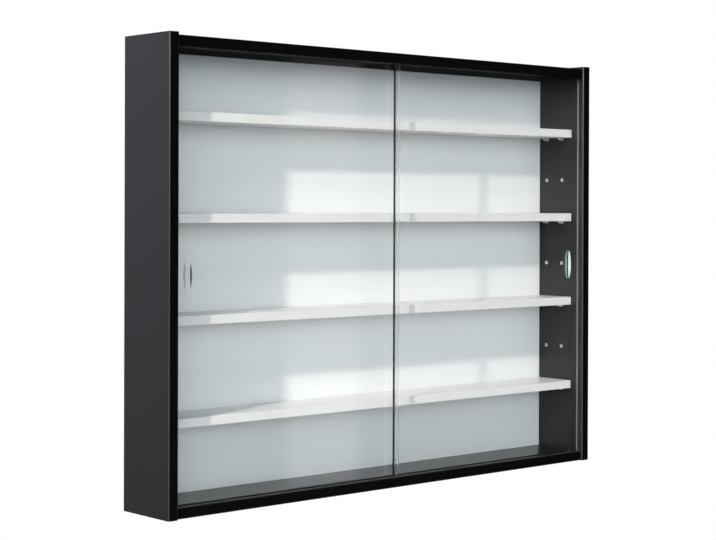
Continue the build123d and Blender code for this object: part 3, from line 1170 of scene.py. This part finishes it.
@dataclass
class CrossBoard:
    """The bottom or the top of the carcass, with its strip.

    Each hole is given by its radius, its depth and how far its mouth is frayed.
    """

    level: Level
    arris: float = 0.3 * MM
    corner: float = 1.8 * MM
    seat_gap: float = 0.05 * MM
    dowel_hole: Range = (4.05 * MM, 21 * MM)
    bolt_hole: Range = (3.8 * MM, 26.5 * MM)
    cam_hole: tuple[float, float, float] = (7.6 * MM, 12.1 * MM, 0.2 * MM)

    @property
    def name(self) -> str:
        """The board's place in words."""
        return "top" if self.level is Level.UPPER else "bottom"

    @property
    def space(self) -> Extent:
        """The space that the board takes up."""
        return Extent.of(f"{self.name}_panel")

    @property
    def outer(self) -> float:
        """The height of the face away from the inside of the cabinet."""
        return self.space.end(Along.Z, self.level.value)

    def sink(self, board: Piece, limits: Range, depth: float) -> None:
        """Cuts a groove into the inner face, along the whole length of the board.

        Args:
            board: The board.
            limits: Where the groove lies in Y.
            depth: How deep it is.
        """
        sign = self.level.value
        inner = self.space.end(Along.Z, -sign)
        groove = self.space.limited(x=(-INNER - OVER, INNER + OVER), y=limits,
                                    z=(inner - sign * OVER, inner + sign * depth))
        cut(board, block("groove", groove), Finishes.raw_board)

    def bores(self) -> tuple[list[Bore], list[Bore]]:
        """The holes in the two ends, for the joints, and in the outer face, for the cam locks."""
        ends, cams = [], []
        for side in Side:
            sign = side.value
            ends += joint_bores(sign * INNER, self.space.centre.z, Vector((-sign, 0, 0)),
                                self.bolt_hole, self.dowel_hole)
            mouth = Vector((sign * (INNER - LINES.cam_from_end), LINES.bolt_row, self.outer))
            cams.append(Bore(mouth, Vector((0, 0, -self.level.value)), *self.cam_hole))
        return ends, cams

    def board(self) -> None:
        """The board with its groove, its track's seat and its holes."""
        space = self.space
        board = block(f"{self.name}_board", space)
        round_edges(board, self.arris, 2,
                    lambda edge: runs(edge, Along.X) and edge.verts[0].co.y > space.centre.y)
        upper = self.level is Level.UPPER
        paint(board, Finishes.dull_board if upper else Finishes.black_board)
        paint(board, Finishes.raw_board, looks(REARWARD, LEFTWARD, RIGHTWARD))
        self.sink(board, GROOVE, LINES.groove_depth)
        track = Extent.of(f"{self.level.word}_track")
        self.sink(board, (track.low.y - self.seat_gap, track.high.y + self.seat_gap), track.size.z)
        for bores in self.bores():
            drill(board, bores, Finishes.raw_board)
        seat(board, "cabinet", f"{self.name}_panel")

    def edging(self) -> None:
        """The strip on the front edge, with a painted highlight along the lower strip's upper corner.
        """
        node = f"{self.name}_edging"
        strip = edge_strip(node, Along.X, self.corner, 6, Finishes.black_edging)
        if self.level is Level.LOWER:
            # The upper rounded corner takes the lightened edging: a painted highlight.
            paint(strip, Finishes.edging_round, lambda face: slanted(face) and face.normal.z > 0)
        seat(strip, "cabinet", node)

    def build(self) -> None:
        """The board and its strip."""
        self.board()
        self.edging()


@dataclass
class BackSheet:
    """The hardboard back, white in front and raw behind."""

    arris: float = 0.2 * MM

    def build(self) -> None:
        """The sheet."""
        sheet = block("back_sheet", BACK)
        round_edges(sheet, self.arris, 1)
        paint(sheet, Finishes.brown_back)
        paint(sheet, Finishes.white_back, looks(FORWARD))
        seat(sheet, "cabinet", "back_panel")


@dataclass
class Track:
    """A plastic profile with two grooves, in which the panes slide."""

    level: Level
    groove_width: float = 5 * MM
    fin: float = 1 * MM
    floor: float = 1 * MM
    lip: float = 0.2 * MM
    touch: float = 0.01 * MM

    def build(self) -> None:
        """The profile, its fins slightly rounded at the mouth of the grooves."""
        node = f"{self.level.word}_track"
        space = Extent.of(node)
        sign = self.level.value
        mouth = space.end(Along.Z, -sign)
        bottom = space.end(Along.Z, sign) - sign * self.floor
        profile = block(f"{self.level.word}_profile", space)
        for place in range(2):
            start = space.low.y + self.fin + place * (self.fin + self.groove_width)
            cut(profile, block("groove", space.limited(
                x=(space.low.x - OVER, space.high.x + OVER), y=(start, start + self.groove_width),
                z=(bottom, mouth - sign * OVER))))
        round_edges(profile, self.lip, 2, lambda edge: runs(edge, Along.X)
                    and abs(edge.verts[0].co.z - mouth) < self.touch)
        paint(profile, Finishes.track)
        seat(profile, "cabinet", node)


@dataclass
class Shelf:
    """A shelf with its front strip and its four pins."""

    number: int
    arris: float = 0.25 * MM
    corner: float = 0.7 * MM
    notch_radius: float = 2.7 * MM
    notch_end: float = 377.3 * MM
    pin_radius: float = 2.5 * MM
    pin_in_board: float = 8 * MM
    pin_reach: float = 7.5 * MM
    pin_tip: float = 0.6 * MM
    pin_edge: float = 0.12 * MM
    collar_radius: float = 3.5 * MM
    collar_width: float = 0.5 * MM

    @property
    def node(self) -> str:
        """The name of the shelf's node and of the body that it is."""
        return f"shelf_{self.number}"

    @property
    def pin_height(self) -> float:
        """The height of the pins' axes."""
        return Extent.of(f"{self.node}_pins").centre.z

    def board(self) -> None:
        """The board, notched over its pins and raw behind and at its ends."""
        space = Extent.of(self.node)
        board = block(f"{self.node}_board", space)
        round_edges(board, self.arris, 2, lambda edge: min(v.co.y for v in edge.verts) > space.low.y)
        paint(board, Finishes.white_board)
        paint(board, Finishes.raw_board, looks(REARWARD, LEFTWARD, RIGHTWARD))
        notches = []
        for side in Side:
            for y in LINES.pin_rows:
                mouth = Vector((side.value * (space.high.x + OVER), y, self.pin_height))
                stop = Vector((side.value * self.notch_end, y, self.pin_height))
                notches.append(rod("notch", mouth, stop, self.notch_radius))
        cut(board, joined(notches, "notches"), Finishes.raw_board)
        seat(board, self.node, self.node)

    def edging(self) -> None:
        """The thin strip on the front edge."""
        node = f"{self.node}_edging"
        strip = edge_strip(node, Along.X, self.corner, 4, Finishes.white_edging)
        seat(strip, self.node, node)

    def pins(self) -> None:
        """The four pins, turned once and copied."""
        tip, radius, board = self.pin_radius - self.pin_tip, self.pin_radius, self.pin_in_board
        reach = board + self.pin_reach
        shoulder = board + self.collar_width
        stations = [(0, tip), (self.pin_tip, radius), (board, radius), (board, self.collar_radius),
                    (shoulder, self.collar_radius), (shoulder, radius),
                    (reach - self.pin_tip, radius), (reach, tip)]
        pin = turned("pin", Vector((INNER + board, 0, self.pin_height)), LEFTWARD, stations)
        round_edges(pin, self.pin_edge, 2, sharp)
        paint(pin, Finishes.pin_steel)
        pins = repeated(pin, both_ends(*LINES.pin_rows), f"{self.node}_steel_pins")
        seat(pins, "cabinet", f"{self.node}_pins")

    def build(self) -> None:
        """The board, its strip and its pins."""
        self.board()
        self.edging()
        self.pins()


@dataclass
class CornerJoints:
    """The dowels, bolts and cam locks at both ends of the bottom or top board.

    The bolt's stub, shank and head are given by their lengths and radii, and the lock's slot by
    its width, its length and its depth.
    """

    level: Level
    dowel_radius: float = 4 * MM
    dowel_in_side: float = 10 * MM
    dowel_length: float = 30 * MM
    dowel_tip: float = 1 * MM
    dowel_sides: int = 48
    flute_depth: float = 0.25 * MM
    stub: Range = (10 * MM, 3 * MM)
    thread_pitch: float = 1.25 * MM
    thread_depth: float = 0.5 * MM
    shank: Range = (16.5 * MM, 3.5 * MM)
    neck_radius: float = 2.5 * MM
    head: Range = (4 * MM, 3.5 * MM)
    bolt_edge: float = 0.2 * MM
    bolt_sides: int = 36
    cam_height: float = 12 * MM
    cam_rim: float = 0.4 * MM
    cam_sides: int = 48
    cavity_gap: float = 0.3 * MM
    slot: tuple[float, float, float] = (1.2 * MM, 8 * MM, 1.5 * MM)

    @property
    def board(self) -> CrossBoard:
        """The board that these joints hold."""
        return CrossBoard(self.level)

    def start(self, in_side: float) -> Vector:
        """A point on the right-hand joint's axis, a length inside the side board."""
        return Vector((INNER + in_side, 0, self.board.space.centre.z))

    def finish(self, piece: Piece, rows: tuple[float, ...], name: str, node: str,
               slot: str, angle: float = 40) -> None:
        """Repeats a right-hand piece at both ends and in each row, and seats the whole."""
        whole = repeated(piece, both_ends(*rows), f"{self.level.word}_{name}")
        seat(whole, "cabinet", f"{self.level.word}_{node}", angle)

    def dowels(self) -> None:
        """Four fluted dowels with chamfered ends."""
        start, radius, length = self.start(self.dowel_in_side), self.dowel_radius, self.dowel_length
        tip = radius - self.dowel_tip
        stations = [(0, tip), (self.dowel_tip, radius), (length - self.dowel_tip, radius),
                    (length, tip)]
        dowel = turned("dowel", start, LEFTWARD, stations, self.dowel_sides)
        ratio = 1 - self.flute_depth / radius
        step = 2 * math.pi / self.dowel_sides
        with edit(dowel):
            select(dowel, Element.VERTS, lambda vert: round(
                math.atan2(vert.co.y, vert.co.z - start.z) / step) % 2 == 0)
            bpy.ops.transform.resize(value=(1, ratio, ratio), center_override=start)
        paint(dowel, Finishes.beech)
        self.finish(dowel, LINES.dowel_rows, "beech_dowels", "dowels", "beech", 25)

    def bolts(self) -> None:
        """Two bolts with a threaded stub, a shank, a neck and a head."""
        length, radius = self.stub
        core = radius - self.thread_depth
        stations = [(0, core)]
        for turn in range(int(length / self.thread_pitch)):
            start = (turn + 0.25) * self.thread_pitch
            stations += [(start, core), (start + self.thread_pitch / 4, radius),
                         (start + self.thread_pitch / 2, core)]
        shank_end = length + self.shank[0]
        head_start = length + LINES.cam_from_end - self.head[0] / 2
        head_end = head_start + self.head[0]
        stations += [(length, core), (length, self.shank[1]), (shank_end, self.shank[1]),
                     (shank_end, self.neck_radius), (head_start, self.neck_radius),
                     (head_start, self.head[1]), (head_end, self.head[1])]
        bolt = turned("bolt", self.start(length), LEFTWARD, stations, self.bolt_sides)
        round_edges(bolt, self.bolt_edge, 2,
                    lambda edge: sharp(edge) and edge.verts[0].co.x < INNER)
        paint(bolt, Finishes.zinc_steel)
        self.finish(bolt, (LINES.bolt_row,), "steel_bolts", "cam_bolts", "zinc_plated_steel")

    def locks(self) -> None:
        """Two round cams, hollowed for the bolts' heads, with a crossed slot."""
        middle = self.start(-LINES.cam_from_end)
        centre = Vector((middle.x, 0, self.board.outer))
        radius, zinc = LINES.cam_radius, Finishes.cast_zinc
        stations = [(0, radius - self.cam_rim), (self.cam_rim, radius), (self.cam_height, radius)]
        cam = turned("cam", centre, Vector((0, 0, -self.level.value)), stations, self.cam_sides)
        paint(cam, zinc)
        half = (self.head[0] / 2 + self.cavity_gap) * RIGHTWARD
        cut(cam, rod("hollow", middle - half, middle + half, self.head[1] + self.cavity_gap), zinc)
        mouth = middle + (radius + OVER) * RIGHTWARD
        cut(cam, rod("way in", middle, mouth, self.neck_radius + self.cavity_gap), zinc)
        cross_recess(cam, centre, Along.Z, self.slot, zinc)
        self.finish(cam, (LINES.bolt_row,), "zinc_cams", "cam_locks", "cast_zinc")

    def build(self) -> None:
        """The dowels, the bolts and the locks."""
        self.dowels()
        self.bolts()
        self.locks()


@dataclass
class Hanger:
    """A keyhole plate let into a side board's rear edge, and its two screws.

    The screw's slot is given by its width, its length and its depth.
    """

    side: Side
    corner: float = 2 * MM
    edge: float = 0.15 * MM
    slot_radius: float = 2.2 * MM
    head_radius: float = 3.3 * MM
    head_height: float = 1.4 * MM
    shank_radius: float = 1.75 * MM
    thread_pitch: float = 1.2 * MM
    thread_depth: float = 0.45 * MM
    length: float = 12 * MM
    point_length: float = 3.5 * MM
    point_radius: float = 0.25 * MM
    screw_sides: int = 24
    gap: float = 0.05 * MM
    slot: tuple[float, float, float] = (0.8 * MM, 4 * MM, 0.7 * MM)

    @property
    def node(self) -> str:
        """The name of the plate's node."""
        return f"{self.side.word}_hanger"

    @property
    def middle(self) -> Vector:
        """The middle of the keyhole's round hole, on the rear face."""
        return Vector((Extent.of(self.node).centre.x, 0, 0))

    def plate(self) -> None:
        """The plate, with its keyhole and its countersunk holes."""
        space, zinc = Extent.of(self.node), Finishes.zinc_steel
        plate = block(f"{self.side.word}_keyhole_plate", space)
        round_edges(plate, self.corner, 6, lambda edge: runs(edge, Along.Y))
        round_edges(plate, self.edge, 1, sharp)
        paint(plate, zinc)
        thick = space.size.y + OVER
        middle, narrow = self.middle.x, self.slot_radius
        slot = block("slot", space.limited(x=(middle - narrow, middle + narrow), y=(-thick, OVER),
                                           z=(0, LINES.keyhole_rise + narrow)))
        round_edges(slot, narrow * NEARLY, 8, lambda edge: runs(edge, Along.Y)
                    and edge.verts[0].co.z > LINES.keyhole_rise)
        cut(plate, slot, zinc)
        cut(plate, Bore(self.middle, FORWARD, LINES.keyhole_radius, thick).cutter(), zinc)
        wide, thin = self.head_radius + self.gap, self.shank_radius + self.gap
        for z in LINES.hanger_screws:
            hole = turned("screw hole", Vector((middle, 0, z)), FORWARD,
                          [(-OVER, wide), (0, wide), (self.head_height, thin), (thick, thin)])
            cut(plate, hole, zinc)
        seat(plate, "cabinet", self.node)

    def screws(self) -> None:
        """Two countersunk screws with threads and points."""
        core = self.shank_radius - self.thread_depth
        shank_end = self.length - self.point_length
        stations = [(0, self.head_radius), (self.head_height, self.shank_radius)]
        for turn in range(int((shank_end - self.head_height) / self.thread_pitch)):
            start = self.head_height + (turn + 0.25) * self.thread_pitch
            stations += [(start, core), (start + self.thread_pitch / 2, self.shank_radius)]
        stations += [(shank_end, core), (self.length, self.point_radius)]
        screw = turned("screw", self.middle, FORWARD, stations, self.screw_sides)
        paint(screw, Finishes.zinc_steel)
        cross_recess(screw, self.middle, Along.Y, self.slot, Finishes.zinc_steel)
        heights = [Matrix.Translation((0, 0, z)) for z in LINES.hanger_screws]
        screws = repeated(screw, heights, f"{self.side.word}_wood_screws")
        seat(screws, "cabinet", f"{self.node}_screws")

    def build(self) -> None:
        """The plate and its screws."""
        self.plate()
        self.screws()


@dataclass
class SlidingPane:
    """A pane of glass with ground edges and a finger pull ground into its front.

    The slopes are the least turns of a face, to the left and to the right, that take a painted
    highlight or painted shade.
    """

    side: Side
    arris: float = 0.4 * MM
    pull_length: float = 45 * MM
    pull_width: float = 13 * MM
    pull_depth: float = 1.8 * MM
    pull_from_edge: float = 24 * MM
    lit_slopes: Range = (0.15, 0.12)
    dark_slopes: Range = (0.34, 0.365)
    front_turn: float = 0.5
    rim_sides: int = 120
    wheel_turn: float = 24.0
    wheel_steps: int = 40
    touch: float = 0.01 * MM
    weld: float = 0.001 * MM

    @property
    def space(self) -> Extent:
        """The space that the pane takes up."""
        return Extent.of(f"{self.side.word}_glass_door")

    @property
    def pull_middle(self) -> float:
        """The X of the pull's middle."""
        return self.space.end(Along.X, self.side.value) - self.side.value * self.pull_from_edge

    def wheel(self) -> Piece:
        """The stretch of a grinding wheel's round rim that makes the pull."""
        half_width, half_length, depth = self.pull_width / 2, self.pull_length / 2, self.pull_depth
        rim = (half_width ** 2 + depth ** 2) / (2 * depth)
        wheel = (half_length ** 2 + depth ** 2) / (2 * depth)
        axle = Vector((self.pull_middle, self.space.low.y - wheel + depth, self.space.centre.z))
        deselect_all()
        bpy.ops.mesh.primitive_circle_add(vertices=self.rim_sides, radius=rim, fill_type="NGON",
                                          location=axle + (wheel - rim) * REARWARD)
        piece = settle(bpy.context.active_object, "grinding wheel")
        turn = math.radians(self.wheel_turn)
        start = Matrix.Rotation(turn / 2, 4, "X")
        piece.data.transform(Matrix.Translation(axle) @ start @ Matrix.Translation(-axle))
        with edit(piece):
            bpy.ops.mesh.select_all(action="SELECT")
            bpy.ops.mesh.spin(steps=self.wheel_steps, angle=turn, center=axle, axis=RIGHTWARD,
                              dupli=False)
            bpy.ops.mesh.select_all(action="SELECT")
            bpy.ops.mesh.remove_doubles(threshold=self.weld)
            bpy.ops.mesh.normals_make_consistent(inside=False)
        return piece

    def paint_pull(self, pane: Piece) -> None:
        """Paints highlights and shade into the pull's two slopes, standing for what the pane leads to
        them.

        The right pane's slopes lie near its lit end. The left pane's look along its whole width.

        Args:
            pane: The pane with its pull.
        """
        lit = self.side is Side.RIGHT
        to_left, to_right = ((Finishes.lit_slope, Finishes.pale_slope) if lit
                             else (Finishes.dark_slope, Finishes.dim_slope))
        left_from, right_from = self.lit_slopes if lit else self.dark_slopes

        def in_pull(face: bpy.types.MeshPolygon) -> bool:
            """True if the face belongs to the pull."""
            return (face.center.y > self.space.low.y + self.touch
                    and face.normal.y < -self.front_turn
                    and abs(face.center.x - self.pull_middle) < self.pull_width / 2)

        # A painted highlight or painted shade on each slope of the pull.
        paint(pane, to_left, lambda face: in_pull(face) and face.normal.x < -left_from)
        paint(pane, to_right, lambda face: in_pull(face) and face.normal.x > right_from)

    def build(self) -> None:
        """The pane with its arrises, its ground edges and its pull."""
        pane = block(f"{self.side.word}_pane", self.space)
        round_edges(pane, self.arris, 1)
        paint(pane, Finishes.clear_glass)
        paint(pane, Finishes.ground_arris, lambda face: abs(face.normal.y) < FACING)
        # The inner ends are tinted dark, partly painted shade.
        end = Finishes.ground_end if self.side is Side.RIGHT else Finishes.shaded_end
        paint(pane, end, looks(LEFTWARD, RIGHTWARD))
        # The outer end takes painted light, in place of light led along the pane.
        paint(pane, Finishes.frosted_end, looks(Vector((self.side.value, 0, 0))))
        cut(pane, self.wheel(), Finishes.clear_glass)
        self.paint_pull(pane)
        seat(pane, f"{self.side.word}_door", f"{self.side.word}_glass_door", 30)


def main() -> None:
    """Builds the studio and every sub-assembly, in order."""
    logging.basicConfig(level=logging.INFO, format="%(name)s: %(message)s")
    Studio().build()
    for side in Side:
        SideBoard(side).build()
        Hanger(side).build()
    for level in Level:
        CrossBoard(level).build()
        Track(level).build()
        CornerJoints(level).build()
    BackSheet().build()
    for number in range(1, 5):
        Shelf(number).build()
    for side in Side:
        SlidingPane(side).build()


if __name__ == "__main__":
    main()
